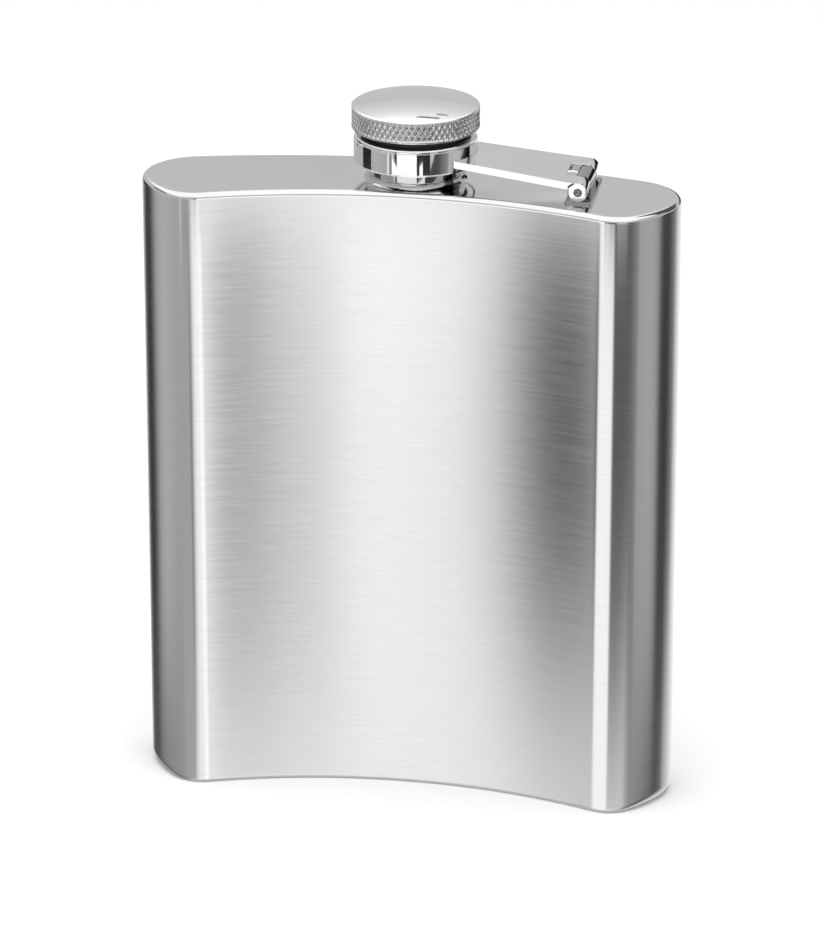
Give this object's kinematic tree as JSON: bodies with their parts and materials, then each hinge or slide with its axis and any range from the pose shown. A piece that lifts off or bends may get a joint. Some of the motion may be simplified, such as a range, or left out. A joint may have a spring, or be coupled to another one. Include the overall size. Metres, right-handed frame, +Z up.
{
  "type": "hip flask",
  "caption": "Curved pocket hip flask in brushed steel, with a knurled screw cap held captive by a collar on a hinged arm.",
  "frame": {"origin": "under the middle of the flask's width and depth, on the surface it stands on", "axes": "+Z up along the flask, +X to the hinge side, -Y out of the hollow front face"},
  "size_m": [0.0932, 0.028, 0.1233],
  "materials": {
    "brushed_steel": "horizontally brushed",
    "polished_steel": "polished",
    "chrome": "mirror chrome",
    "pin_steel": "dark turned steel",
    "black_nylon": "black moulded",
    "silicone": "translucent white silicone"
  },
  "bodies": {
    "flask": {"body_sleeve": "brushed_steel", "top_plate": "polished_steel", "bottom_plate": "brushed_steel", "neck": "chrome", "hinge_base": "chrome", "hinge_pin": "pin_steel"},
    "arm": {"lid_arm": "chrome", "collar": "chrome"},
    "cap_carrier": {"swivel_washer": "pin_steel"},
    "cap": {"cap_shell": "chrome", "cap_insert": "black_nylon", "cap_gasket": "silicone"}
  },
  "joints": [
    {"name": "arm_swing", "type": "hinge", "parent": "flask", "child": "arm", "pos_m": [0.0297, -0.00063, 0.11164], "axis": [0, 1, 0], "range_deg": [0, 175]},
    {"name": "cap_lift", "type": "slide", "parent": "arm", "child": "cap_carrier", "axis": [0, 0, 1], "range_m": [0, 0.0025]},
    {"name": "cap_turn", "type": "hinge", "parent": "cap_carrier", "child": "cap", "pos_m": [0, 0.00302, 0.1195], "axis": [0, 0, 1], "range_deg": [0, 720]}
  ],
  "couplings": [
    {"joint": "cap_lift", "follows": "cap_turn", "m_per_rad": 0.00019894}
  ]
}
